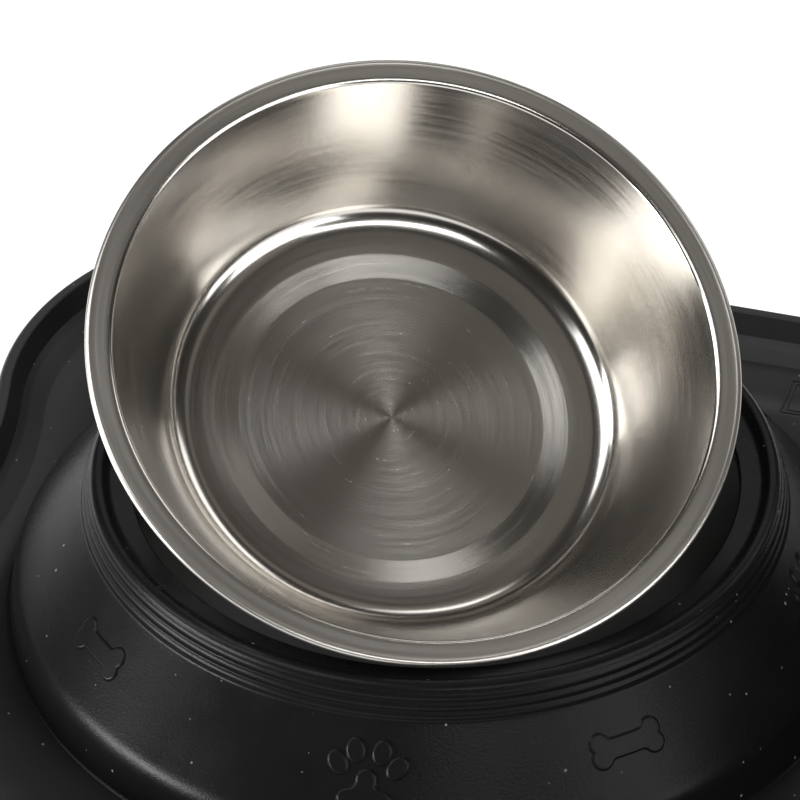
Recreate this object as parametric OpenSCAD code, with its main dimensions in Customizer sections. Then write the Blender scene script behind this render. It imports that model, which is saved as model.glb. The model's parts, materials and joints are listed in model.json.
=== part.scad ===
// Double pet bowl: two flanged steel bowls in a bone-shaped silicone spill mat.
// Millimetres, +Z up, +X along the mat. The origin is the centre of the mat's underside.

/* [Bowls] */
// Radius of a bowl over its rolled rim
rim_r = 78; // [70:0.5:84]
// Width of the flat flange, from the rim's outer edge to the mouth
flange_w = 6; // [4:0.2:8]
// Radius of the roll along the rim's edge
bead_r = 1; // [0.8:0.1:1.3]
// Depth inside, from the flange down to the ring of flat floor
bowl_depth = 37; // [30:0.5:44]
// Lean of the wall away from upright, in degrees
wall_lean = 26.4; // [18:0.5:32]
// Thickness of the steel sheet
sheet_t = 0.8; // [0.6:0.1:1]
// Inside radius of the round between the wall and the floor
floor_round = 7; // [4:0.5:10]
// Inside radius of the round between the wall and the flange
mouth_round = 1.5; // [1:0.25:2.5]
// Radius of the middle disc of the floor
disc_r = 37.4; // [30:0.2:40]
// Width of the sloped band round the disc
band_w = 6.1; // [4:0.2:8]
// Drop from the ring of floor down to the disc
disc_drop = 1.2; // [0.8:0.1:2]
// Air between a seated bowl and the table
under_gap = 4.4; // [3:0.2:9]

/* [Tipped bowl] */
// Turn from seated to the tipped place, in degrees
tip_angle = 30.9; // [0:0.5:40]
// Compass angle of the turning axis, from +X towards +Y, in degrees
tip_axis_az = 32.4; // [20:1:45]
// Rise of the turning axis above level, in degrees
tip_axis_rise = 9.8; // [6:0.2:12]
// How far the turning axis passes inside the rim's edge
tip_inset = 3.4; // [3:0.1:3.6]
// How far the turning axis passes above the seated flange
tip_rise = 7.2; // [6.4:0.2:8]

/* [Holders] */
// Gap between the feet of the two holders
holder_gap = 9.6; // [4:0.2:40]
// Gap between a bowl's wall and the edge of its hole
hole_gap = 0.6; // [0.5:0.1:1.5]
// Gap between the rim's edge and the foot of the crest
rim_gap = 1.3; // [1:0.1:2]
// Gap between the rim and the ledge below it
seat_gap = 0.4; // [0.4:0.05:0.8]
// Fall of the ledge from the crest towards the hole
ledge_fall = 0.5; // [0.2:0.1:0.8]
// Height of the crest above the ledge
crest_h = 1.8; // [1:0.1:3]
// Radius of the round on the crest
crest_round = 2.2; // [1.5:0.1:3]
// Slope of the ribbed band below the crest, in degrees
band_slope = 72; // [65:1:80]
// Number of ribs on the band
rib_count = 3; // [2:1:4]
// Pitch of the ribs down the band
rib_pitch = 2.3; // [1.8:0.1:2.6]
// Height that each rib bulges out of the band
rib_bulge = 0.45; // [0.2:0.05:0.6]
// Distance from the foot of the ribs out to the foot of the holder
holder_spread = 19.5; // [16:0.5:22]
// Height of the side wall below the shoulder
side_h = 11; // [7:0.5:14]
// Slope of the side wall, in degrees
side_slope = 80; // [74:1:85]
// Radius of the shoulder between the cone and the side wall
shoulder_round = 14; // [6:0.5:18]
// Thickness of the holder's skin
skin_t = 3; // [2.2:0.1:3.6]

/* [Motifs] */
// Height of the raised bones and paws
motif_h = 0.5; // [0.3:0.05:0.8]
// Length of a bone
bone_l = 18.4; // [14:0.2:21]
// Height of a bone over its knobs
bone_h = 8.4; // [6:0.2:10]
// Width of a paw
paw_w = 19; // [14:0.2:21]

/* [Mat] */
// Thickness of the mat's floor
floor_t = 2.5; // [2:0.1:4]
// Radius of the four round lobes
lobe_r = 80; // [76:1:84]
// How far the lobes swell out past the waist
lobe_swell = 11.5; // [6:0.5:16]
// Width of open floor between a holder's foot and the crease at the end notch
end_margin = 7.1; // [3:0.1:14]
// Width of open floor between a holder's foot and the crease at the waist
side_margin = 11.3; // [6:0.1:20]
// Radius of the sweep between a lobe and the waist
waist_sweep = 60; // [40:1:90]
// Radius of the shallow notch between the lobes at each end
end_notch = 131; // [100:1:150]

/* [Lip] */
// Height of the lip above the table
lip_h = 12; // [10:0.5:15]
// Width of the lip, from the outer edge to the crease in the floor
lip_w = 12; // [10:0.5:14]
// Radius of the lip's outer round
lip_round = 2; // [1:0.25:2.5]
// Width of the flat on top of the lip
lip_flat = 1.6; // [1:0.1:2.5]
// Drop from the top of the lip down its steep inner wall
lip_drop = 5.6; // [3:0.1:6.5]
// Lean of that wall away from upright, in degrees
lip_wall_lean = 24; // [10:1:35]
// Relief under the lip, so that only the floor of the mat rests on the table
lip_relief = 0.4; // [0.2:0.1:1]

/* [Plate] */
// Length of the bare frame on the mat's floor
plate_l = 87.6; // [60:0.2:100]
// Width of the bare frame
plate_w = 15; // [10:0.5:16]
// Gap between the frame and the crease of the lip
plate_gap = 5; // [3:0.5:8]
// Width of each line of the frame
line_w = 0.6; // [0.4:0.1:0.8]
// Distance between the two lines of the frame
line_gap = 0.7; // [0.5:0.1:1.2]
// Height of the frame's lines above the floor
line_h = 0.4; // [0.3:0.1:0.6]

/* [Hidden] */
$fn = 120;

// Overrun of cuts and of shapes that fuse
over = 0.5;

// Steps along one arc of the mat's outline
arc_steps = 12;
// Steps along one small round of a turned profile
round_steps = 8;
// Steps across one rib
rib_steps = 6;
// Points round one toe of a paw
toe_steps = 12;
// Facets of a knob
knob_facets = 32;
// Where the round of the crest starts, as a compass angle in its section
crest_start = 155;

silicone = [0.15, 0.15, 0.16];
silicone_tray = [0.2, 0.2, 0.21];
steel = [0.78, 0.76, 0.73];

// Bowl, measured down from the top of its flange
mouth_r = rim_r - flange_w;
floor_corner_r = mouth_r - bowl_depth * tan(wall_lean);
disc_depth = bowl_depth + disc_drop;
bowl_h = disc_depth + sheet_t;
ring_in_r = disc_r + band_w;

// Heights on the holder
flange_z = under_gap + bowl_h;
ledge_z = flange_z - 2 * bead_r - seat_gap;
crest_z = ledge_z + crest_h;
hole_r = mouth_r + sheet_t + hole_gap;
ledge_r = rim_r + rim_gap;
crest_r = ledge_r + crest_round;

// Ribbed band, cone and side wall of the holder, as points (radius, height)
band_top = [crest_r + crest_round * sin(band_slope),
            crest_z - crest_round + crest_round * cos(band_slope)];
band_l = rib_count * rib_pitch;
band_foot = band_top + band_l * [cos(band_slope), -sin(band_slope)];
foot_r = band_foot.x + holder_spread;
holder_spacing = 2 * foot_r + holder_gap;
shoulder = [foot_r - side_h / tan(side_slope), floor_t + side_h];
cone_slope = atan2(band_foot.y - shoulder.y, shoulder.x - band_foot.x);
cone_l = norm(shoulder - band_foot);
shoulder_cut = min(shoulder_round, side_h) * tan((side_slope - cone_slope) / 2);

// The motifs sit this share of the way down the cone
motif_share = 0.43;
bone_azimuths = [-131.5, -46, 48.5, 134];
paw_azimuths = [-83.4, 1, 96.6];

// Proportions of a bone: bar, knob and knob spacing as shares of its height
bone_bar_share = 0.57;
bone_knob_share = 0.3;
// Proportions of a paw as shares of its width
toe_w_share = 0.22;
toe_h_share = 0.31;
toe_places_shares = [[-0.366, 0.056, 32], [-0.165, 0.228, 10], [0.165, 0.228, -10], [0.366, 0.056, -32]];
pad_shares = [[0, 0.02], [0.065, 0], [0.107, -0.076], [0.14, -0.156], [0.209, -0.237], [0.29, -0.3],
              [0.31, -0.38], [0.25, -0.46], [0.14, -0.47], [0, -0.43]];

// Turning axis of the tipped bowl
tip_dir = [cos(tip_axis_az) * cos(tip_axis_rise), sin(tip_axis_az) * cos(tip_axis_rise),
           sin(tip_axis_rise)];
tip_heading_turn = 87.3;
tip_heading = tip_axis_az - tip_heading_turn;
tip_point = [(rim_r - tip_inset) * cos(tip_heading), (rim_r - tip_inset) * sin(tip_heading),
             flange_z + tip_rise];

// Centres of the arcs in the mat's outline
waist_side = foot_r + side_margin + lip_w;
lobe_side = waist_side + lobe_swell - lobe_r;
notch_x = holder_spacing / 2 + foot_r + end_margin + lip_w + end_notch;
lobe_x = notch_x - sqrt(pow(lobe_r + end_notch, 2) - pow(lobe_side, 2));
sweep_y = waist_side + waist_sweep;
sweep_x = lobe_x - sqrt(pow(lobe_r + waist_sweep, 2) - pow(sweep_y - lobe_side, 2));
notch_turn = atan2(lobe_side, notch_x - lobe_x);
sweep_turn = atan2(sweep_y - lobe_side, lobe_x - sweep_x);

// Points of an arc round a centre
function arc(c, r, a0, a1, steps) =
    [for (i = [0:steps]) let (a = a0 + (a1 - a0) * i / steps) c + r * [cos(a), sin(a)]];

// Where a line through p at angle a meets a line through q at angle b
function meet(p, a, q, b) =
    let (d = q - p, s = (d.x * sin(b) - d.y * cos(b)) / sin(b - a)) p + s * [cos(a), sin(a)];

// One quarter of the mat's outline, moved inwards, from the right end round to the waist
function quarter(inset) = concat(
    arc([notch_x, 0], end_notch + inset, 180, 180 - notch_turn, arc_steps / 2),
    after_first(arc([lobe_x, lobe_side], lobe_r - inset, -notch_turn, 180 - sweep_turn, 2 * arc_steps)),
    after_first(arc([sweep_x, sweep_y], waist_sweep + inset, -sweep_turn, -90, arc_steps / 2)));

function reversed(list) = [for (i = [len(list) - 1:-1:0]) list[i]];
function mirrored(list, sx, sy) = [for (p = list) [sx * p.x, sy * p.y]];
function without_ends(list) = [for (i = [1:len(list) - 2]) list[i]];
function after_first(list) = [for (i = [1:len(list) - 1]) list[i]];
function midpoints(list) = [for (i = [0:len(list) - 1]) (list[i] + list[(i + 1) % len(list)]) / 2];

// The whole outline, anticlockwise from the right end
function outline(inset) =
    let (q = quarter(inset), last = len(q) - 1, inner = without_ends(q))
    concat([q[0]], inner, [q[last]], mirrored([q[last]], -1, 1),
           mirrored(reversed(inner), -1, 1), mirrored([q[0]], -1, 1),
           mirrored(inner, -1, -1), mirrored([q[last]], -1, -1), mirrored([q[last]], 1, -1),
           mirrored(reversed(inner), 1, -1));

// Section of the lip as rings (how far in from the outer edge, how high), up and over and back underneath
lip_top = lip_round + lip_flat;
lip_wall_w = lip_drop * tan(lip_wall_lean);
lip_slope_w = lip_w - lip_top - lip_wall_w;
lip_slope_h = lip_h - lip_drop - floor_t;
// How far along, and how far down, the wall and the slope below it each have their bend
lip_wall_shares = [0.3, 0.22];
lip_slope_shares = [0.3, 0.4];
// The slope runs on below the floor, where the lip and the floor fuse
lip_fuse_h = over * lip_slope_h / lip_slope_w;
lip_rings = concat(
    [[0, lip_relief]],
    arc([lip_round, lip_h - lip_round], lip_round, 180, 90, round_steps / 2),
    [[lip_top, lip_h],
     [lip_top + lip_wall_w * lip_wall_shares[0], lip_h - lip_drop * lip_wall_shares[1]],
     [lip_top + lip_wall_w, lip_h - lip_drop],
     [lip_w - lip_slope_w * (1 - lip_slope_shares[0]),
      lip_h - lip_drop - lip_slope_h * lip_slope_shares[1]],
     [lip_w + over, floor_t - lip_fuse_h], [lip_w + over, lip_relief]]);

// The lip all round: one closed band of rings of the outline
module lip() {
    n = len(outline(0));
    m = len(lip_rings);
    points = [for (ring = lip_rings) for (p = outline(ring[0])) [p.x, p.y, ring[1]]];
    faces = [for (k = [0:m - 1]) for (i = [0:n - 1]) let (j = (i + 1) % n, up = (k + 1) % m)
        each [[k * n + i, up * n + j, k * n + j], [k * n + i, up * n + i, up * n + j]]];
    polyhedron(points, faces, convexity = 6);
}

// One rectangle of raised line
module frame_line(l, w) {
    difference() {
        translate([-l / 2, -w / 2, 0]) cube([l, w, line_h + over]);
        translate([line_w - l / 2, line_w - w / 2, -over])
            cube([l - 2 * line_w, w - 2 * line_w, line_h + 3 * over]);
    }
}

module mat_tray() {
    plate_y = waist_side - lip_w - plate_gap - plate_w / 2;
    inner_step = 2 * (line_w + line_gap);
    color(silicone_tray) {
        lip();
        difference() {
            linear_extrude(height = floor_t) polygon(midpoints(outline(lip_w / 2)));
            for (side = [-1, 1])
                translate([side * holder_spacing / 2, 0, -over])
                    cylinder(r = foot_r - skin_t, h = floor_t + 2 * over);
        }
        translate([0, plate_y, floor_t - over]) {
            frame_line(plate_l, plate_w);
            frame_line(plate_l - inner_step, plate_w - inner_step);
        }
    }
}

// Points of the ribbed band: each rib is a low bulge between two grooves
function ribs() =
    [for (k = [0:rib_count - 1]) for (i = [0:rib_steps - 1])
        let (s = (k + i / rib_steps) * rib_pitch, b = rib_bulge * sin(180 * i / rib_steps))
        band_top + s * [cos(band_slope), -sin(band_slope)] + b * [sin(band_slope), cos(band_slope)]];

// Round that blends the cone into the side wall
function shoulder_arc() =
    let (r = min(shoulder_round, side_h),
         p = shoulder + shoulder_cut * [-cos(cone_slope), sin(cone_slope)],
         c = p - r * [sin(cone_slope), cos(cone_slope)])
    arc(c, r, 90 - cone_slope, 90 - side_slope, round_steps);

// Skin of the holder as a section: over the outside, then back up the inside
function holder_section() =
    let (under = [hole_r, ledge_z - ledge_fall - skin_t],
         fall = atan2(ledge_fall, ledge_r - hole_r),
         band_in = band_top - skin_t * [sin(band_slope), cos(band_slope)],
         cone_in = shoulder - skin_t * [sin(cone_slope), cos(cone_slope)],
         side_in = [foot_r - skin_t / sin(side_slope), floor_t])
    concat(
        [[hole_r, ledge_z - ledge_fall]],
        [[ledge_r, ledge_z]],
        arc([crest_r, crest_z - crest_round], crest_round, crest_start, 90 - band_slope, round_steps),
        without_ends(concat([band_top], ribs(), [band_foot])),
        [band_foot],
        shoulder_arc(),
        [[foot_r, floor_t], side_in,
         meet(side_in, -side_slope, cone_in, -cone_slope),
         meet(cone_in, -cone_slope, band_in, -band_slope),
         meet(band_in, -band_slope, under, fall),
         under]);

// Dog bone: a bar with two knobs at each end
module bone_shape() {
    knob_r = bone_h * bone_knob_share;
    bar_h = bone_h * bone_bar_share;
    square([bone_l - 2 * knob_r, bar_h], center = true);
    for (sx = [-1, 1])
        for (sy = [-1, 1])
            translate([sx * (bone_l / 2 - knob_r), sy * (bone_h / 2 - knob_r)])
                circle(r = knob_r, $fn = knob_facets);
}

// Paw print: four oval toes over a three-sided pad
module paw_shape() {
    toe_a = paw_w * toe_w_share / 2;
    toe_b = paw_w * toe_h_share / 2;
    toe_turns = [for (i = [0:toe_steps - 1]) 360 * i / toe_steps];
    for (t = toe_places_shares)
        translate(paw_w * [t[0], t[1]]) rotate(t[2])
            polygon([for (a = toe_turns) [toe_a * cos(a), toe_b * sin(a)]]);
    half = [for (p = pad_shares) paw_w * p];
    polygon(concat(half, mirrored(reversed(without_ends(half)), -1, 1)));
}

// Thin shell over the cone that gives the motifs their height
module motif_skin() {
    out = [sin(cone_slope), cos(cone_slope)];
    down = [cos(cone_slope), -sin(cone_slope)];
    top_in = band_foot + over * down;
    foot_in = shoulder - shoulder_cut * down;
    rotate_extrude()
        polygon([top_in - over * out, foot_in - over * out,
                 foot_in + motif_h * out, top_in + motif_h * out]);
}

// Stands a flat shape upright on the cone at one azimuth
module on_cone(azimuth) {
    spot = band_foot + motif_share * cone_l * [cos(cone_slope), -sin(cone_slope)];
    reach = 2 * motif_h + over;
    rotate([0, 0, azimuth]) translate([spot.x, 0, spot.y]) rotate([0, cone_slope, 0]) rotate([0, 0, 90])
        translate([0, 0, -reach]) linear_extrude(height = 2 * reach) children();
}

module holder() {
    rotate_extrude() polygon(holder_section());
    intersection() {
        motif_skin();
        union() {
            for (a = bone_azimuths) on_cone(a) bone_shape();
            for (a = paw_azimuths) on_cone(a) paw_shape();
        }
    }
}

module left_holder() {
    color(silicone) translate([-holder_spacing / 2, 0, 0]) holder();
}

module right_holder() {
    color(silicone) translate([holder_spacing / 2, 0, 0]) rotate([0, 0, 180]) holder();
}

// Section of the bowl: along the inside from the middle to the rim, and back underneath
function bowl_section() =
    let (lean = 90 - wall_lean,
         corner_turn = tan(lean / 2),
         floor_c = [floor_corner_r - floor_round * corner_turn, floor_round - bowl_depth],
         mouth_c = [mouth_r + mouth_round * corner_turn, -mouth_round],
         bead_c = [rim_r - bead_r, -bead_r])
    concat(
        [[0, -disc_depth], [disc_r, -disc_depth], [ring_in_r, -bowl_depth]],
        arc(floor_c, floor_round, -90, -wall_lean, round_steps),
        arc(mouth_c, mouth_round, 180 - wall_lean, 90, round_steps),
        arc(bead_c, bead_r, 90, -180 + asin((sheet_t - bead_r) / bead_r), 2 * round_steps),
        arc(mouth_c, mouth_round - sheet_t, 90, 180 - wall_lean, round_steps / 2),
        arc(floor_c, floor_round + sheet_t, -wall_lean, -90, round_steps),
        [[ring_in_r, -bowl_depth - sheet_t], [disc_r, -disc_depth - sheet_t], [0, -disc_depth - sheet_t]]);

module bowl() {
    rotate_extrude() polygon(bowl_section());
}

module left_bowl() {
    color(steel)
        translate([-holder_spacing / 2, 0, 0])
            translate(tip_point) rotate(a = tip_angle, v = tip_dir) translate(-tip_point)
                translate([0, 0, flange_z]) bowl();
}

module right_bowl() {
    color(steel) translate([holder_spacing / 2, 0, flange_z]) bowl();
}

mat_tray();
left_holder();
right_holder();
left_bowl();
right_bowl();
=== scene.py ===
import json
import math

import bmesh
import bpy
from mathutils import Matrix, Vector


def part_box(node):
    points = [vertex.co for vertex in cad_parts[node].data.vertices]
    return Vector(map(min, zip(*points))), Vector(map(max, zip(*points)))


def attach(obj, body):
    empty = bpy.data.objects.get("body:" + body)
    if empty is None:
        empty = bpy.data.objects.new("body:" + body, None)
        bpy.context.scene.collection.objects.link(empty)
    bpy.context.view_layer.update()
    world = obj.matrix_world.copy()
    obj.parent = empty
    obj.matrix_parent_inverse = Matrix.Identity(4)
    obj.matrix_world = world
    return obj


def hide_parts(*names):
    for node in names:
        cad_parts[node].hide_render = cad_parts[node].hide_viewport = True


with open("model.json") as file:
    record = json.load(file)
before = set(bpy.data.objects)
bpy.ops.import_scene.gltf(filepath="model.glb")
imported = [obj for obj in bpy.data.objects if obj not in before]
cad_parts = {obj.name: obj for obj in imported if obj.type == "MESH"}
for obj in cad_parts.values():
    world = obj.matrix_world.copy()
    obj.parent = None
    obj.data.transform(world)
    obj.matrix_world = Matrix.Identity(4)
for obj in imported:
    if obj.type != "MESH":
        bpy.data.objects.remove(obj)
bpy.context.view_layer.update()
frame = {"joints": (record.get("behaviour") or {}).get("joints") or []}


# Tray of the spill mat: a bone-shaped floor of soft dark silicone, inside a raised lip. The lip has a
# rounded outer edge, a narrow flat top, a steep inner wall and a gentle slope down to a crease. It is
# moulded in one with the holders, and lies on the floor by its own weight.
tray_low, tray_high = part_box("mat_tray")
holder_low, holder_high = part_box("left_holder")
half_length = (tray_high.x - tray_low.x) / 2
half_width = (tray_high.y - tray_low.y) / 2
lip_height = tray_high.z
floor_top = holder_low.z
foot_radius = (holder_high.y - holder_low.y) / 2
holder_x = -(holder_low.x + holder_high.x) / 2

lobe_radius = 0.080
lobe_swell = 0.0115
end_notch_radius = 0.131
waist_sweep_radius = 0.060
arc_step = math.radians(1.5)

lip_width = 0.012
lip_flat_end = 0.0036
lip_wall_foot = 0.0061
lip_wall_drop = 0.0056
lip_slope_bend = (0.0079, 0.0048)
lip_edge_round = 0.002
lip_top_round = 0.0007
lip_wall_round = 0.0006
lip_slope_round = 0.004
lip_crease_round = 0.0008
lip_relief = 0.0004
relief_width = 0.006
floor_strip = 0.001
skin = 0.003

lobe_x = half_length - lobe_radius
lobe_y = half_width - lobe_radius
notch_x = lobe_x + math.sqrt((lobe_radius + end_notch_radius) ** 2 - lobe_y ** 2)
waist = half_width - lobe_swell
sweep_y = waist + waist_sweep_radius
sweep_x = lobe_x - math.sqrt((lobe_radius + waist_sweep_radius) ** 2 - (sweep_y - lobe_y) ** 2)
notch_turn = math.atan2(lobe_y, notch_x - lobe_x)
sweep_turn = math.atan2(sweep_y - lobe_y, lobe_x - sweep_x)


def arc(centre, radius, start, end, step=arc_step):
    """Points along an arc, from one angle to the other."""
    count = max(2, math.ceil(abs(end - start) / step))
    angles = [start + (end - start) * i / count for i in range(count + 1)]
    return [(centre[0] + radius * math.cos(a), centre[1] + radius * math.sin(a)) for a in angles]


def mat_outline(inset):
    """The mat's outline, anticlockwise from the middle of its right end, moved inwards."""
    quarter = (arc((notch_x, 0), end_notch_radius + inset, math.pi, math.pi - notch_turn)
               + arc((lobe_x, lobe_y), lobe_radius - inset, -notch_turn, math.pi - sweep_turn)[1:]
               + arc((sweep_x, sweep_y), waist_sweep_radius + inset, -sweep_turn, -math.pi / 2)[1:])
    half = quarter + [(-x, y) for x, y in reversed(quarter)]
    return half + [(-x, -y) for x, y in half[1:-1]]


def rounded(corners, turn_step=math.radians(5)):
    """A line through (across, up, radius) corners, with an arc of its radius at each."""
    line = []
    for i, (x, z, radius) in enumerate(corners):
        if radius == 0 or i in (0, len(corners) - 1):
            line.append((x, z))
            continue
        here = Vector((x, z))
        back = (Vector(corners[i - 1][:2]) - here).normalized()
        ahead = (Vector(corners[i + 1][:2]) - here).normalized()
        half_angle = back.angle(ahead) / 2
        centre = here + (back + ahead).normalized() * radius / math.sin(half_angle)
        start = here + back * radius / math.tan(half_angle) - centre
        turn = start.angle_signed(here + ahead * radius / math.tan(half_angle) - centre)
        count = max(2, math.ceil(abs(turn) / turn_step))
        for k in range(count + 1):
            a = math.atan2(start.y, start.x) - turn * k / count
            line.append((centre.x + radius * math.cos(a), centre.y + radius * math.sin(a)))
    return line


def filled_in(line, longest):
    """The same line, with points added so that no stretch is longer than this."""
    full = [line[0]]
    for (x0, z0), (x1, z1) in zip(line, line[1:]):
        count = max(1, math.ceil(math.hypot(x1 - x0, z1 - z0) / longest))
        full += [(x0 + (x1 - x0) * k / count, z0 + (z1 - z0) * k / count) for k in range(1, count + 1)]
    return full


def wire(name, points, closed):
    """A line of edges, for a tree to sweep along or to sweep."""
    count = len(points)
    mesh = bpy.data.meshes.new(name)
    edges = [(i, (i + 1) % count) for i in range(count if closed else count - 1)]
    mesh.from_pydata([(x, y, 0) for x, y in points], edges, [])
    wire_object = bpy.data.objects.new(name, mesh)
    bpy.context.scene.collection.objects.link(wire_object)
    return wire_object


def add(tree, kind, feeds=None, **settings):
    """Adds a node to a tree, with its settings, and feeds its inputs with sockets or values."""
    node = tree.nodes.new(kind)
    for name, value in settings.items():
        setattr(node, name, value)
    for name, value in (feeds or {}).items():
        if isinstance(value, bpy.types.NodeSocket):
            tree.links.new(value, node.inputs[name])
        else:
            node.inputs[name].default_value = value
    return node


def new_tree(kind, name, inputs, outputs):
    """A node group with named inputs and outputs, each given as its name and socket type."""
    tree = bpy.data.node_groups.new(name, kind)
    for label, socket in inputs.items():
        tree.interface.new_socket(label, in_out="INPUT", socket_type="NodeSocket" + socket)
    for label, socket in outputs.items():
        tree.interface.new_socket(label, in_out="OUTPUT", socket_type="NodeSocket" + socket)
    return tree, tree.nodes.new("NodeGroupInput").outputs, tree.nodes.new("NodeGroupOutput").inputs


def grown(tree, name, source, values):
    """Runs a geometry tree on a wire and returns the result as a plain mesh object."""
    modifier = source.modifiers.new(tree.name, "NODES")
    modifier.node_group = tree
    for socket in tree.interface.items_tree:
        if socket.in_out == "INPUT" and socket.name in values:
            modifier[socket.identifier] = values[socket.name]
    graph = bpy.context.evaluated_depsgraph_get()
    mesh = bpy.data.meshes.new_from_object(source.evaluated_get(graph), preserve_all_data_layers=True,
                                           depsgraph=graph)
    source.modifiers.remove(modifier)
    bpy.data.objects.remove(source)
    mesh.name = name
    return mesh


# Sweeps a section, whose second axis points down, along a flat closed wire
sweep, given, result = new_tree("GeometryNodeTree", "swept_section",
                                {"Geometry": "Geometry", "Section": "Object", "Material": "Material",
                                 "Merge distance": "Float"}, {"Geometry": "Geometry"})
path = add(sweep, "GeometryNodeMeshToCurve", {"Mesh": given["Geometry"]})
upright = add(sweep, "GeometryNodeSetCurveNormal", {"Curve": path.outputs[0]}, mode="Z_UP")
along = add(sweep, "GeometryNodeSplineParameter")
kept_path = add(sweep, "GeometryNodeCaptureAttribute", {"Geometry": upright.outputs[0]})
kept_path.capture_items.new("FLOAT", "Along")
sweep.links.new(along.outputs["Factor"], kept_path.inputs["Along"])
section_wire = add(sweep, "GeometryNodeObjectInfo", {"Object": given["Section"]})
section_curve = add(sweep, "GeometryNodeMeshToCurve", {"Mesh": section_wire.outputs["Geometry"]})
kept_section = add(sweep, "GeometryNodeCaptureAttribute", {"Geometry": section_curve.outputs[0]})
kept_section.capture_items.new("FLOAT", "Across")
kept_section.capture_items.new("FLOAT", "Width")
sweep.links.new(along.outputs["Factor"], kept_section.inputs["Across"])
sweep.links.new(along.outputs["Length"], kept_section.inputs["Width"])
swept = add(sweep, "GeometryNodeCurveToMesh",
            {"Curve": kept_path.outputs["Geometry"], "Profile Curve": kept_section.outputs["Geometry"]})
on_surface = add(sweep, "ShaderNodeCombineXYZ",
                 {"X": kept_section.outputs["Across"], "Y": kept_path.outputs["Along"]})
with_uv = add(sweep, "GeometryNodeStoreNamedAttribute",
              {"Geometry": swept.outputs[0], "Name": "UVMap"}, data_type="FLOAT2", domain="CORNER")
sweep.links.new(on_surface.outputs[0], with_uv.inputs["Value"])
place = add(sweep, "GeometryNodeInputPosition")
level = add(sweep, "ShaderNodeVectorMath", {0: place.outputs[0], 1: (1, 1, 0)}, operation="MULTIPLY")
heading = add(sweep, "ShaderNodeVectorMath", {0: level.outputs[0]}, operation="NORMALIZE")
heading_parts = add(sweep, "ShaderNodeSeparateXYZ", {0: heading.outputs[0]})
turned_place = add(sweep, "ShaderNodeCombineXYZ",
                   {"X": heading_parts.outputs["X"], "Y": heading_parts.outputs["Y"],
                    "Z": kept_section.outputs["Width"]})
with_turn = add(sweep, "GeometryNodeStoreNamedAttribute",
                {"Geometry": with_uv.outputs[0], "Name": "turned"}, data_type="FLOAT_VECTOR", domain="POINT")
sweep.links.new(turned_place.outputs[0], with_turn.inputs["Value"])
merged = add(sweep, "GeometryNodeMergeByDistance",
             {"Geometry": with_turn.outputs[0], "Distance": given["Merge distance"]})
smooth = add(sweep, "GeometryNodeSetShadeSmooth", {"Geometry": merged.outputs[0]})
whole = add(sweep, "GeometryNodeRealizeInstances", {"Geometry": smooth.outputs[0]})
finished = add(sweep, "GeometryNodeSetMaterial",
               {"Geometry": whole.outputs[0], "Material": given["Material"]})
sweep.links.new(finished.outputs[0], result["Geometry"])


def swept_mesh(name, path_points, section, material, section_closed=False):
    """Sweeps a section of (outwards, up) points along a closed line."""
    section_object = wire(name + "_section", [(x, -z) for x, z in section], section_closed)
    mesh = grown(sweep, name, wire(name + "_path", path_points, True),
                 {"Section": section_object, "Material": material, "Merge distance": 1e-7})
    bpy.data.objects.remove(section_object)
    return mesh


def outward(mesh, extra=None):
    """Closes a mesh with an extra step of its own, if it has one, and turns its faces outwards."""
    work = bmesh.new()
    work.from_mesh(mesh)
    if extra:
        extra(work)
    bmesh.ops.recalc_face_normals(work, faces=work.faces)
    for face in work.faces:
        face.smooth = True
    work.to_mesh(mesh)
    work.free()
    return mesh


def piece(name, mesh, body, nodes=()):
    """Puts a finished mesh in the scene as a piece that rides on a body and stands for CAD nodes."""
    made = bpy.data.objects.new(name, mesh)
    mesh.name = name
    bpy.context.scene.collection.objects.link(made)
    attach(made, body)
    if nodes:
        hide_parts(*nodes)
    return made


# Dust: small pale specks, a few to each square centimetre of silicone and fewer on steel
dust, given, result = new_tree("ShaderNodeTree", "dust_specks",
                               {"Vector": "Vector", "Spacing": "Float", "Speck size": "Float",
                                "Share": "Float"}, {"Mask": "Float"})
speck_contrast = 1.6
per_spacing = add(dust, "ShaderNodeMath", {0: 1.0, 1: given["Spacing"]}, operation="DIVIDE")
cells = add(dust, "ShaderNodeTexVoronoi", {"Vector": given["Vector"], "Scale": per_spacing.outputs[0],
                                           "Randomness": 1.0})
cell_kind = add(dust, "ShaderNodeSeparateColor", {0: cells.outputs["Color"]})
has_speck = add(dust, "ShaderNodeMath", {0: cell_kind.outputs["Red"], 1: given["Share"]},
                operation="LESS_THAN")
speck_reach = add(dust, "ShaderNodeMath", {0: given["Speck size"], 1: given["Spacing"]}, operation="DIVIDE")
own_reach = add(dust, "ShaderNodeMath", {0: speck_reach.outputs[0], 1: cell_kind.outputs["Green"]},
                operation="MULTIPLY")
speck = add(dust, "ShaderNodeMapRange", {"Value": cells.outputs["Distance"], "From Min": own_reach.outputs[0],
                                         "From Max": 0.0, "To Min": 0.0, "To Max": speck_contrast})
shown = add(dust, "ShaderNodeMath", {0: speck.outputs[0], 1: has_speck.outputs[0]}, operation="MULTIPLY",
            use_clamp=True)
dust.links.new(shown.outputs[0], result["Mask"])

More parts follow.
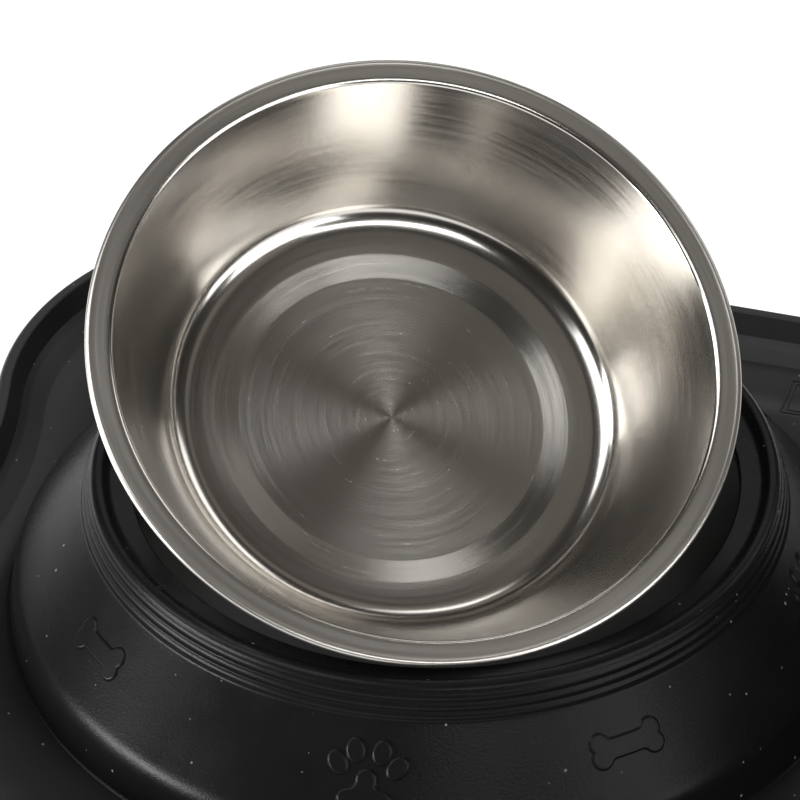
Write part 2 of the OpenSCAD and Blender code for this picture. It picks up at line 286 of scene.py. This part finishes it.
# Moulded grain: the fine satin texture that a blasted mould leaves on silicone, and broad faint patches
grain, given, result = new_tree("ShaderNodeTree", "moulded_grain",
                                {"Vector": "Vector", "Grain size": "Float"},
                                {"Height": "Float", "Patches": "Float"})
patches_in_a_metre = 45.0
per_grain = add(grain, "ShaderNodeMath", {0: 1.0, 1: given["Grain size"]}, operation="DIVIDE")
grains = add(grain, "ShaderNodeTexNoise", {"Vector": given["Vector"], "Scale": per_grain.outputs[0],
                                           "Detail": 3.0, "Roughness": 0.6})
patches = add(grain, "ShaderNodeTexNoise", {"Vector": given["Vector"], "Scale": patches_in_a_metre,
                                            "Detail": 4.0, "Roughness": 0.6})
grain.links.new(grains.outputs[0], result["Height"])
grain.links.new(patches.outputs[0], result["Patches"])


silicone_ior = 1.43
silicone_grain_size = 0.0006
silicone_dust = {"Spacing": 0.003, "Speck size": 0.0005, "Share": 0.25}
dust_colour = (0.26, 0.25, 0.235, 1)
tone_spread = 0.2
roughness_spread = 0.04
noise_range = {"From Min": 0.3, "From Max": 0.7}


def silicone(name, colour, sheen, roughness, grain_height):
    """Black silicone with a moulded satin grain, patches of slightly different sheen, and dust."""
    material = bpy.data.materials.new(name)
    material.use_nodes = True
    tree = material.node_tree
    shader = tree.nodes["Principled BSDF"]
    shader.inputs["IOR"].default_value = silicone_ior
    shader.inputs["Specular IOR Level"].default_value = sheen
    place = add(tree, "ShaderNodeTexCoord").outputs["Object"]
    surface = add(tree, "ShaderNodeGroup", {}, node_tree=grain)
    tree.links.new(place, surface.inputs["Vector"])
    surface.inputs["Grain size"].default_value = silicone_grain_size
    specks = add(tree, "ShaderNodeGroup", {}, node_tree=dust)
    tree.links.new(place, specks.inputs["Vector"])
    for label, value in silicone_dust.items():
        specks.inputs[label].default_value = value
    tone = add(tree, "ShaderNodeMix", {"Factor": surface.outputs["Patches"]}, data_type="RGBA")
    tone.inputs[6].default_value = [c * (1 - tone_spread) for c in colour] + [1]
    tone.inputs[7].default_value = [c * (1 + tone_spread) for c in colour] + [1]
    dusty = add(tree, "ShaderNodeMix", {"Factor": specks.outputs["Mask"]}, data_type="RGBA")
    tree.links.new(tone.outputs[2], dusty.inputs[6])
    dusty.inputs[7].default_value = dust_colour
    tree.links.new(dusty.outputs[2], shader.inputs["Base Color"])
    uneven = add(tree, "ShaderNodeMapRange", {"Value": surface.outputs["Patches"], **noise_range,
                                              "To Min": roughness - roughness_spread,
                                              "To Max": roughness + roughness_spread})
    tree.links.new(uneven.outputs[0], shader.inputs["Roughness"])
    relief = add(tree, "ShaderNodeBump", {"Height": surface.outputs["Height"], "Strength": 1.0,
                                          "Distance": grain_height})
    tree.links.new(relief.outputs[0], shader.inputs["Normal"])
    return material


# The tray's copy of the silicone is painted lighter than the holders': painted light, for the light that
# falls on its flat floor.
tray_silicone_painted_lighter = silicone("tray_silicone_painted_lighter", colour=(0.026, 0.0255, 0.0267), sheen=0.4, roughness=0.42,
                         grain_height=0.00004)

lip_section = rounded([
    (-lip_width - floor_strip, floor_top, 0), (-lip_width, floor_top, lip_crease_round),
    (-lip_slope_bend[0], lip_slope_bend[1], lip_slope_round),
    (-lip_wall_foot, lip_height - lip_wall_drop, lip_wall_round), (-lip_flat_end, lip_height, lip_top_round),
    (0, lip_height, lip_edge_round), (0, lip_relief, 0), (-relief_width, lip_relief, 0),
    (-relief_width, 0, 0), (-lip_width - floor_strip, 0, 0)])


def floor_with_holes(work):
    """Fills the mat's floor, above and below, round the two openings under the holders."""
    loops = {}
    for level in (floor_top, 0.0):
        loops[level] = [edge for edge in work.edges
                        if edge.is_boundary and abs(edge.verts[0].co.z - level) < 1e-6]
    for side in (-1, 1):
        hole = arc((side * holder_x, 0), foot_radius - skin, 0, math.tau)[:-1]
        rims = {level: [work.verts.new((x, y, level)) for x, y in hole] for level in loops}
        for level, rim in rims.items():
            loops[level] += [work.edges.new((rim[i - 1], rim[i])) for i in range(len(rim))]
        for i in range(len(hole)):
            upper, lower = rims[floor_top], rims[0.0]
            work.faces.new((upper[i - 1], upper[i], lower[i], lower[i - 1]))
    for level, edges in loops.items():
        bmesh.ops.triangle_fill(work, use_beauty=True, edges=edges, normal=(0, 0, 1))


tray = outward(swept_mesh("tray", mat_outline(0), lip_section, tray_silicone_painted_lighter), floor_with_holes)
piece("tray", tray, "mat", ["mat_tray"])

# Frame on the tray's floor, near the mat's back edge: two fine raised lines of the same silicone, one
# inside the other. They are moulded in one with the tray, and what they frame is bare.
frame_length = 0.0876
frame_width = 0.015
frame_gap = 0.005
line_width = 0.0006
line_height = 0.0004
line_round = 0.00024
line_pitch = 0.0013
corner_round = 0.0004
corner_step = math.radians(30)
frame_y = waist - lip_width - frame_gap - frame_width / 2
line_section = rounded([(-line_width / 2, -line_height, 0), (-line_width / 2, line_height, line_round),
                        (line_width / 2, line_height, line_round), (line_width / 2, -line_height, 0)])
for number in (0, 1):
    half_x = frame_length / 2 - line_width / 2 - number * line_pitch
    half_y = frame_width / 2 - line_width / 2 - number * line_pitch
    corners = [(half_x, half_y), (-half_x, half_y), (-half_x, -half_y), (half_x, -half_y)]
    line_path = []
    for quarter_turn, (x, y) in enumerate(corners):
        centre = (x - math.copysign(corner_round, x), y - math.copysign(corner_round, y))
        line_path += arc(centre, corner_round, quarter_turn * math.pi / 2, (quarter_turn + 1) * math.pi / 2,
                         corner_step)
    line = outward(swept_mesh("frame_line", line_path, line_section, tray_silicone_painted_lighter, True))
    line.transform(Matrix.Translation((0, frame_y, floor_top)))
    piece("frame_line_%d" % (number + 1), line, "mat")


# Holders: two raised rings of the same moulding that carry the bowls. Each has a dished ledge for the
# bowl's flange, a rounded crest round it, three fine ribs below the crest, and a sloped side that
# rounds over into a steep foot. Bones and paw prints stand a little out of the slope.
right_bowl_low, right_bowl_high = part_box("right_bowl")
rim_radius = (right_bowl_high.x - right_bowl_low.x) / 2
flange_top = right_bowl_high.z
crest_top = holder_high.z

hole_radius = 0.0734
hole_edge_round = 0.0007
ledge_play = 0.0013
ledge_radius = rim_radius + ledge_play
ledge_top = 0.0410
ledge_fall = 0.0005
ledge_round = 0.003
crest_round = 0.0022
crest_outer_share = 0.98
crest_inner_slope = math.radians(45)
band_slope = math.radians(72)
rib_count = 3
rib_pitch = 0.0023
rib_bulge = 0.0003
rib_points = 10
band_foot_round = 0.0015
shoulder_height = 0.0135
shoulder_round = 0.011
side_slope = math.radians(80)
foot_round = 0.0010
foot_reach = 0.0016
foot_edge = 0.00005
foot_sink = 0.0004
inner_shoulder_round = 0.006
inner_edge_round = 0.001
inner_crest_out, inner_crest_up = 0.0005, 0.0003
holder_step = 0.0018
holder_segments = 360
path_radius = 0.001

crest_middle = ledge_radius + crest_round
crest_inner_foot = Vector((crest_middle - crest_round * math.sin(crest_inner_slope),
                           crest_top - crest_round * (1 - math.cos(crest_inner_slope))))
ledge_corner = crest_inner_foot.x - (crest_inner_foot.y - ledge_top) / math.tan(crest_inner_slope)
band_top = Vector((crest_middle + crest_round * math.sin(band_slope),
                   crest_top - crest_round * (1 - math.cos(band_slope))))
band_down = Vector((math.cos(band_slope), -math.sin(band_slope)))
band_out = Vector((math.sin(band_slope), math.cos(band_slope)))
band_foot = band_top + rib_count * rib_pitch * band_down
shoulder = Vector((foot_radius - (shoulder_height - floor_top) / math.tan(side_slope), shoulder_height))
cone_down = (shoulder - band_foot).normalized()
cone_out = Vector((-cone_down.y, cone_down.x))
side_out = Vector((math.sin(side_slope), math.cos(side_slope)))

ribs = []
for number in range(rib_count * rib_points):
    bulge = rib_bulge * math.sin(math.pi * (number % rib_points) / rib_points)
    at = band_top + number / rib_points * rib_pitch * band_down + bulge * band_out
    ribs.append((at.x, at.y, 0))

inner_foot = Vector((foot_radius - skin / math.sin(side_slope), floor_top))
inner_shoulder = shoulder - skin * (cone_out + side_out).normalized() / math.cos(cone_out.angle(side_out) / 2)
inner_band = band_foot - skin * (cone_out + band_out).normalized() / math.cos(cone_out.angle(band_out) / 2)
ledge_under = ledge_top - skin
holder_section = rounded([
    (hole_radius, ledge_under, 0), (hole_radius, ledge_top - ledge_fall, hole_edge_round),
    (ledge_corner, ledge_top, ledge_round),
    (crest_middle - crest_round * math.tan(crest_inner_slope / 2), crest_top, crest_round),
    (crest_middle + crest_round * math.tan(band_slope / 2), crest_top,
     crest_round * crest_outer_share)]
    + ribs + [(band_foot.x, band_foot.y, band_foot_round), (shoulder.x, shoulder.y, shoulder_round),
              (foot_radius, floor_top, foot_round), (foot_radius + foot_reach, floor_top - foot_edge, 0),
              (foot_radius + foot_reach, floor_top - foot_sink, 0), (inner_foot.x, floor_top - foot_sink, 0),
              (inner_shoulder.x, inner_shoulder.y, inner_shoulder_round),
              (inner_band.x, inner_band.y, inner_edge_round),
              (ledge_radius + inner_crest_out, ledge_under + inner_crest_up, inner_edge_round),
              (hole_radius, ledge_under, 0)])
holder_section = [(x - path_radius, z) for x, z in filled_in(holder_section, holder_step)]


def ring(radius, count):
    """Points of a full circle."""
    return arc((0, 0), radius, 0, math.tau, math.tau / count)[:-1]


# The holders' copy of the same silicone is the darker one; the tray's copy is painted lighter.
holder_silicone = silicone("holder_silicone", colour=(0.007, 0.0068, 0.0073), sheen=0.13, roughness=0.28,
                           grain_height=0.00005)
holder_skin = outward(swept_mesh("holder_skin", ring(path_radius, holder_segments), holder_section[:-1],
                                 holder_silicone, True))

motif_height = 0.0005
motif_edge = 0.00045
motif_sink = 0.0003
motif_grid = 0.00028
motif_share = 0.43
motif_spot = band_foot + motif_share * (shoulder - band_foot)

bone_length = 0.0184
bone_height = 0.0084
bone_bar_share = 0.57
bone_knob_share = 0.3
bone_blend = 0.0008
bone_azimuths = (-131.5, -46, 48.5, 134)

paw_width = 0.019
toe_size_shares = (0.11, 0.155)
toe_place_shares = ((-0.366, 0.056, 32), (-0.165, 0.228, 10), (0.165, 0.228, -10), (0.366, 0.056, -32))
pad_circle_shares = ((0, -0.09, 0.11), (-0.195, -0.35, 0.115), (0.195, -0.35, 0.115), (0, -0.29, 0.14))
pad_blend_share = 0.1
paw_azimuths = (-83.4, 1, 96.6)


def blended(first, second, blend):
    """Joins two outlines, given as distances to their edges, with a round where they meet."""
    near = max(blend - abs(first - second), 0) / blend
    return min(first, second) - near * near * blend / 4


def bone_edge(x, y):
    """How far a point is outside a bone: a bar with two knobs at each end."""
    knob = bone_height * bone_knob_share
    far_x = abs(x) - (bone_length / 2 - knob)
    far_y = abs(y) - bone_height * bone_bar_share / 2
    bar = math.hypot(max(far_x, 0), max(far_y, 0)) + min(max(far_x, far_y), 0)
    to_knob = math.hypot(far_x, abs(y) - (bone_height / 2 - knob)) - knob
    return blended(bar, to_knob, bone_blend)


def paw_edge(x, y):
    """How far a point is outside a paw print: four oval toes over a three-sided pad."""
    toe_a, toe_b = (paw_width * share for share in toe_size_shares)
    nearest = paw_width
    for across, up, lean in toe_place_shares:
        dx, dy = x - paw_width * across, y - paw_width * up
        c, s = math.cos(math.radians(lean)), math.sin(math.radians(lean))
        u, v = (c * dx + s * dy) / toe_a, (c * dy - s * dx) / toe_b
        reach = math.hypot(u, v)
        slope = math.hypot(u / toe_a, v / toe_b) or 1
        nearest = min(nearest, reach * (reach - 1) / slope)
    pad = paw_width
    for across, up, radius in pad_circle_shares:
        to_circle = math.hypot(x - paw_width * across, y - paw_width * up) - paw_width * radius
        pad = blended(pad, to_circle, paw_width * pad_blend_share)
    return min(nearest, pad)


def motif_mesh(name, edge, half_x, half_y):
    """A low rounded plateau in the outline of a motif, bent round the slope at azimuth 0."""
    columns, rows = (2 * math.ceil(half / motif_grid) + 1 for half in (half_x, half_y))
    outer, inner, faces, index = [], [], [], {}
    for row in range(rows):
        for column in range(columns):
            x, y = (column - columns // 2) * motif_grid, (row - rows // 2) * motif_grid
            away = edge(x, y)
            if away > motif_edge + motif_grid:
                continue
            rise = min(max(0.5 - away / motif_edge, -0.5), 1)
            lift = motif_height * rise * rise * (3 - 2 * rise) if rise > 0 else motif_sink * rise
            index[column, row] = len(outer)
            for layer, height in ((outer, lift), (inner, -2 * motif_sink)):
                at = motif_spot - y * cone_down + height * cone_out
                turn = x / motif_spot.x
                layer.append((at.x * math.cos(turn), at.x * math.sin(turn), at.y))
    count = len(outer)
    for (column, row) in index:
        quad = [index.get((column + i, row + j)) for i, j in ((0, 0), (1, 0), (1, 1), (0, 1))]
        if None not in quad:
            faces.append(quad)
            faces.append([count + i for i in reversed(quad)])
    mesh = bpy.data.meshes.new(name)
    mesh.from_pydata(outer + inner, [], faces)

    def close_sides(work):
        work.verts.ensure_lookup_table()
        for rim_edge in [e for e in work.edges if e.is_boundary and e.verts[0].index < count]:
            a, b = rim_edge.verts
            work.faces.new((a, b, work.verts[b.index + count], work.verts[a.index + count]))
        loose = [v for v in work.verts if not v.link_faces]
        bmesh.ops.delete(work, geom=loose, context="VERTS")

    return outward(mesh, close_sides)


# Sets copies of a motif round the slope, one for each point of a wire, turned to face that point
round_set, given, result = new_tree("GeometryNodeTree", "set_round_the_slope",
                                    {"Geometry": "Geometry", "Motif": "Object", "Material": "Material"},
                                    {"Geometry": "Geometry"})
motif_source = add(round_set, "GeometryNodeObjectInfo", {"Object": given["Motif"], "As Instance": True})
point_place = add(round_set, "GeometryNodeInputPosition")
facing = add(round_set, "FunctionNodeAlignRotationToVector", {"Vector": point_place.outputs[0]}, axis="X",
             pivot_axis="Z")
copies = add(round_set, "GeometryNodeInstanceOnPoints",
             {"Points": given["Geometry"], "Instance": motif_source.outputs["Geometry"],
              "Rotation": facing.outputs[0]})
to_axis = add(round_set, "ShaderNodeVectorMath", {0: point_place.outputs[0]}, operation="SCALE")
to_axis.inputs["Scale"].default_value = -1.0
moved = add(round_set, "GeometryNodeTranslateInstances",
            {"Instances": copies.outputs[0], "Translation": to_axis.outputs[0], "Local Space": False})
real = add(round_set, "GeometryNodeRealizeInstances", {"Geometry": moved.outputs[0]})
clad = add(round_set, "GeometryNodeSetMaterial", {"Geometry": real.outputs[0], "Material": given["Material"]})
round_set.links.new(clad.outputs[0], result["Geometry"])


def motifs_round(name, edge, half_x, half_y, azimuths):
    """The copies of one motif on a holder, as one mesh in the holder's own frame."""
    motif = bpy.data.objects.new(name, motif_mesh(name, edge, half_x, half_y))
    bpy.context.scene.collection.objects.link(motif)
    points = [(math.cos(math.radians(a)), math.sin(math.radians(a))) for a in azimuths]
    mesh = grown(round_set, name + "s", wire(name + "_places", points, False),
                 {"Motif": motif, "Material": holder_silicone})
    bpy.data.objects.remove(motif)
    return mesh


margin = 2 * motif_edge
bones = motifs_round("bone", bone_edge, bone_length / 2 + margin, bone_height / 2 + margin, bone_azimuths)
paws = motifs_round("paw", paw_edge, paw_width / 2 + margin, paw_width / 2 + margin, paw_azimuths)
holder_places = {"left": Matrix.Translation((-holder_x, 0, 0)),
                 "right": Matrix.Translation((holder_x, 0, 0)) @ Matrix.Rotation(math.pi, 4, "Z")}
for side, placed in holder_places.items():
    for part_name, mesh, nodes in (("holder", holder_skin, [side + "_holder"]), ("bones", bones, []),
                                   ("paws", paws, [])):
        own = mesh.copy()
        own.transform(placed)
        piece("%s_%s_silicone" % (side, part_name), own, "mat", nodes)


# Bowls: two alike, spun from thin stainless steel and brushed in circles, with a sloped wall, a floor
# whose middle disc is set down a little, and a flat flange rolled under at its edge. They lie loose in
# the holders, and the left one is tipped up as far as its joint says.
flange_width = 0.006
bead_radius = 0.001
bead_start = math.radians(120)
bowl_depth = 0.037
disc_drop = 0.0012
disc_radius = 0.0374
band_width = 0.0061
band_round = 0.0012
band_under_round = 0.001
wall_lean = math.radians(26.4)
floor_round = 0.007
mouth_round = 0.0015
sheet = 0.0008
inside_step = 0.001
inside_turn_step = math.radians(3)
outside_step = 0.002
bead_turn_step = math.radians(12)
bowl_segments = 288

mouth_radius = rim_radius - flange_width
flange_dip = bead_radius * (1 - math.sin(bead_start))
floor_corner = mouth_radius - bowl_depth * math.tan(wall_lean)
corner_shift = sheet * math.tan((math.pi / 2 - wall_lean) / 2)
inside = rounded([
    (0, -bowl_depth - disc_drop, 0), (disc_radius, -bowl_depth - disc_drop, band_round),
    (disc_radius + band_width, -bowl_depth, band_round), (floor_corner, -bowl_depth, floor_round),
    (mouth_radius, -flange_dip, mouth_round),
    (rim_radius - bead_radius * (1 - math.cos(bead_start)), -flange_dip, 0)], inside_turn_step)
bead_end = -math.pi - math.asin((bead_radius - sheet) / bead_radius)
bead = arc((rim_radius - bead_radius, -bead_radius), bead_radius, bead_start, bead_end, bead_turn_step)
outside = rounded([
    (rim_radius - 2 * bead_radius, -sheet, 0), (mouth_radius + corner_shift, -sheet, mouth_round - sheet),
    (floor_corner + corner_shift, -bowl_depth - sheet, floor_round + sheet),
    (disc_radius + band_width, -bowl_depth - sheet, band_under_round),
    (disc_radius, -bowl_depth - disc_drop - sheet, band_under_round),
    (0, -bowl_depth - disc_drop - sheet, 0)])
flange_start = sum(math.dist(a, b) for a, b in zip(inside, inside[1:]) if b[0] < mouth_radius)
bowl_section = filled_in(inside, inside_step) + bead[1:-1] + filled_in(outside, outside_step)
bowl_section = [(x - path_radius, z) for x, z in bowl_section]

# Brushed lines: long streaks that run round the bowl, from the turning that finished it
brushed, given, result = new_tree("ShaderNodeTree", "brushed_lines",
                                  {"Turned": "Vector", "Lines": "Float", "Turns": "Float"},
                                  {"Height": "Float"})
parts = add(brushed, "ShaderNodeSeparateXYZ", {0: given["Turned"]})
stretched = []
for axis, factor in (("X", given["Turns"]), ("Y", given["Turns"]), ("Z", given["Lines"])):
    stretched.append(add(brushed, "ShaderNodeMath", {0: parts.outputs[axis], 1: factor},
                         operation="MULTIPLY").outputs[0])
streak_place = add(brushed, "ShaderNodeCombineXYZ", dict(zip("XYZ", stretched)))
streaks = add(brushed, "ShaderNodeTexNoise", {"Vector": streak_place.outputs[0], "Scale": 1.0,
                                              "Detail": 4.0, "Roughness": 0.65})
brushed.links.new(streaks.outputs[0], result["Height"])

# Steel: matt and strongly brushed on the floor, nearly polished on the wall, and dull on the flange
line_counts = {"fine": (5200.0, 2.0), "broad": (900.0, 1.1)}
dark_steel = (0.60, 0.575, 0.535, 1)
bright_steel = (0.69, 0.665, 0.625, 1)
steel_dust = {"Spacing": 0.006, "Speck size": 0.00025, "Share": 0.15}
steel_dust_colour = (0.9, 0.9, 0.9, 1)
floor_roughness, wall_roughness = 0.25, 0.16
floor_brushing, wall_brushing = 0.85, 0.4
floor_relief, wall_relief = 0.6, 0.3
roughness_waver = 0.03
flange_dulling = 0.16
line_depth = 0.000002

steel = bpy.data.materials.new("brushed_steel")
steel.use_nodes = True
tree = steel.node_tree
shader = tree.nodes["Principled BSDF"]
shader.inputs["Metallic"].default_value = 1.0
turned = add(tree, "ShaderNodeAttribute", {}, attribute_name="turned").outputs["Vector"]
lines = {}
for label, (count, turns) in line_counts.items():
    lines[label] = add(tree, "ShaderNodeGroup", {}, node_tree=brushed)
    tree.links.new(turned, lines[label].inputs["Turned"])
    lines[label].inputs["Lines"].default_value = count
    lines[label].inputs["Turns"].default_value = turns
steel_tone = add(tree, "ShaderNodeMix", {"Factor": lines["broad"].outputs[0]}, data_type="RGBA")
steel_tone.inputs[6].default_value = dark_steel
steel_tone.inputs[7].default_value = bright_steel
steel_specks = add(tree, "ShaderNodeGroup", {}, node_tree=dust)
tree.links.new(add(tree, "ShaderNodeTexCoord").outputs["Object"], steel_specks.inputs["Vector"])
for label, value in steel_dust.items():
    steel_specks.inputs[label].default_value = value
dusty_steel = add(tree, "ShaderNodeMix", {"Factor": steel_specks.outputs["Mask"]}, data_type="RGBA")
tree.links.new(steel_tone.outputs[2], dusty_steel.inputs[6])
dusty_steel.inputs[7].default_value = steel_dust_colour
tree.links.new(dusty_steel.outputs[2], shader.inputs["Base Color"])
from_middle = add(tree, "ShaderNodeSeparateXYZ", {0: turned}).outputs["Z"]


def across_bowl(start, end, first, last):
    """A value that goes from first to last between two distances, along the bowl, from its middle."""
    return add(tree, "ShaderNodeMapRange", {"Value": from_middle, "From Min": start, "From Max": end,
                                            "To Min": first, "To Max": last}).outputs[0]


disc_to_wall = (disc_radius + band_width, floor_corner)
tree.links.new(across_bowl(*disc_to_wall, floor_brushing, wall_brushing), shader.inputs["Anisotropic"])
uneven = add(tree, "ShaderNodeMapRange", {"Value": lines["broad"].outputs[0], **noise_range,
                                          "To Min": -roughness_waver, "To Max": roughness_waver})
on_flange = across_bowl(flange_start, flange_start + mouth_round, 0.0, flange_dulling)
roughness = add(tree, "ShaderNodeMath", {0: across_bowl(*disc_to_wall, floor_roughness, wall_roughness),
                                         1: uneven.outputs[0]})
roughness = add(tree, "ShaderNodeMath", {0: roughness.outputs[0], 1: on_flange})
tree.links.new(roughness.outputs[0], shader.inputs["Roughness"])
tree.links.new(add(tree, "ShaderNodeTangent", {}, direction_type="UV_MAP", uv_map="UVMap").outputs[0],
               shader.inputs["Tangent"])
steel_relief = add(tree, "ShaderNodeBump", {"Height": lines["fine"].outputs[0],
                                            "Strength": across_bowl(*disc_to_wall, floor_relief,
                                                                    wall_relief),
                                            "Distance": line_depth})
tree.links.new(steel_relief.outputs[0], shader.inputs["Normal"])

bowl = outward(swept_mesh("bowl", ring(path_radius, bowl_segments), bowl_section, steel))
tip = next(joint for joint in frame["joints"] if joint["name"] == "left_bowl_tip")
hinge = Matrix.Translation(tip["pos_m"])
tilt = Matrix.Rotation(-math.radians(tip["range_deg"][0]), 4, Vector(tip["axis"]))
tipped = hinge @ tilt @ hinge.inverted()
seats = {"left": tipped @ Matrix.Translation((-holder_x, 0, flange_top)),
         "right": Matrix.Translation((holder_x, 0, flange_top))}
for side, seated in seats.items():
    own = bowl.copy()
    own.transform(seated)
    piece(side + "_bowl_steel", own, side + "_bowl", [side + "_bowl"])


# Camera: a long lens that looks down over the left bowl, from its front right
camera_place = Vector((0.0993, -0.7368, 0.6326))
camera_look = Vector((-0.2277, 0.7686, -0.5978))
camera_lens = 180
camera_sensor = 36
camera_reach = 50
camera = bpy.data.objects.new("camera", bpy.data.cameras.new("camera"))
camera.data.lens = camera_lens
camera.data.sensor_width = camera_sensor
camera.data.clip_end = camera_reach
camera.location = camera_place
camera.rotation_euler = camera_look.to_track_quat("-Z", "Y").to_euler()
bpy.context.scene.collection.objects.link(camera)
bpy.context.scene.camera = camera


# Floor: a plain pale floor that shows as white, to the camera and in the steel, and still takes the
# mat's shadow. Inside the holders, where the mat is open underneath, its colour is painted dark: a
# painted shadow for the deep shade under the mat.
floor_size = 12.0
floor_below_mat = 0.0001
painted_shadow_tone, pale_tone = 0.1, 0.8
# With the light of the lamps on it, this glow makes the floor white
floor_glow = 0.55
floor_mesh = bpy.data.meshes.new("floor")
floor_mesh.from_pydata([(x * floor_size / 2, y * floor_size / 2, -floor_below_mat)
                        for x, y in ((-1, -1), (1, -1), (1, 1), (-1, 1))], [], [(0, 1, 2, 3)])
floor = bpy.data.objects.new("floor", floor_mesh)
bpy.context.scene.collection.objects.link(floor)
floor_paint = bpy.data.materials.new("pale_floor")
floor_paint.use_nodes = True
tree = floor_paint.node_tree
shader = tree.nodes["Principled BSDF"]
shader.inputs["Roughness"].default_value = 0.9
shader.inputs["Specular IOR Level"].default_value = 0.1
floor_place = add(tree, "ShaderNodeTexCoord").outputs["Object"]
from_holders = []
for side in (-1, 1):
    from_holders.append(add(tree, "ShaderNodeVectorMath", {0: floor_place, 1: (side * holder_x, 0, 0)},
                            operation="DISTANCE").outputs["Value"])
from_holder = add(tree, "ShaderNodeMath", dict(enumerate(from_holders)), operation="MINIMUM")
uncovered = add(tree, "ShaderNodeMath", {0: from_holder.outputs[0], 1: foot_radius}, operation="GREATER_THAN")
# Painted shadow: the floor's colour is dark inside the holders' feet and pale outside them
floor_tone = add(tree, "ShaderNodeMapRange", {"Value": uncovered.outputs[0],
                                              "To Min": painted_shadow_tone, "To Max": pale_tone})
tree.links.new(floor_tone.outputs[0], shader.inputs["Base Color"])
rays = add(tree, "ShaderNodeLightPath")
seen = add(tree, "ShaderNodeMath", {0: rays.outputs["Is Camera Ray"], 1: rays.outputs["Is Glossy Ray"]},
           operation="MAXIMUM")
seen = add(tree, "ShaderNodeMath", {0: seen.outputs[0], 1: rays.outputs["Is Transmission Ray"]},
           operation="MAXIMUM")
glowing = add(tree, "ShaderNodeMath", {0: seen.outputs[0], 1: uncovered.outputs[0]}, operation="MULTIPLY")
glow = add(tree, "ShaderNodeMath", {0: glowing.outputs[0], 1: floor_glow}, operation="MULTIPLY")
shader.inputs["Emission Color"].default_value = (1, 1, 1, 1)
tree.links.new(glow.outputs[0], shader.inputs["Emission Strength"])
floor_mesh.materials.append(floor_paint)


# Light: softboxes round the mat in a dim warm room. They light the object at a plain level, and stand
# where the steel mirrors them as soft bands along its wall and floor.
light_centre = Vector((-holder_x, 0, 0.08))
light_distance = 2.4
room_colour = (0.03, 0.028, 0.025, 1)


def softbox(name, azimuth, elevation, wide, high, brightness, colour=(1, 1, 1)):
    """A soft lamp that stands at this place round the left bowl, as wide and high as these angles."""
    a, e = math.radians(azimuth), math.radians(elevation)
    way = Vector((math.cos(e) * math.cos(a), math.cos(e) * math.sin(a), math.sin(e)))
    lamp = bpy.data.lights.new(name, "AREA")
    lamp.shape = "RECTANGLE"
    lamp.size = 2 * light_distance * math.tan(math.radians(wide) / 2)
    lamp.size_y = 2 * light_distance * math.tan(math.radians(high) / 2)
    # With this energy the lamp's face looks as bright as the number says
    lamp.energy = 4 * brightness * lamp.size * lamp.size_y
    lamp.color = colour
    lamp_object = bpy.data.objects.new(name, lamp)
    lamp_object.location = light_centre + light_distance * way
    lamp_object.rotation_euler = (-way).to_track_quat("-Z", "Y").to_euler()
    lamp_object.visible_camera = False
    bpy.context.scene.collection.objects.link(lamp_object)


softbox("low_left_strip", -147, 3, 34, 10, 26.0)
softbox("middle_left_softbox", -165, 34, 20, 18, 5.5)
softbox("high_left_softbox", -148, 62, 34, 28, 2.8)
softbox("low_front_softbox", -24, 10, 34, 16, 3.2)
softbox("low_right_softbox", 0, 9, 13, 14, 3.0)
softbox("middle_front_softbox", -20, 30, 22, 16, 3.2)
softbox("high_front_softbox", -52, 43, 32, 12, 4.2)
softbox("right_softbox", 52, 34, 24, 20, 1.4)
softbox("back_softbox", 104, 34, 40, 18, 0.9)
softbox("overhead_strip", 84, 66, 14, 8, 1.8)
softbox("high_fill", 50, 70, 80, 14, 0.12, (1, 0.93, 0.82))

world = bpy.data.worlds.new("dim_room")
bpy.context.scene.world = world
world.use_nodes = True
world.node_tree.nodes["Background"].inputs["Color"].default_value = room_colour
world.node_tree.nodes["Background"].inputs["Strength"].default_value = 1.0
bpy.context.scene.view_settings.view_transform = "Standard"
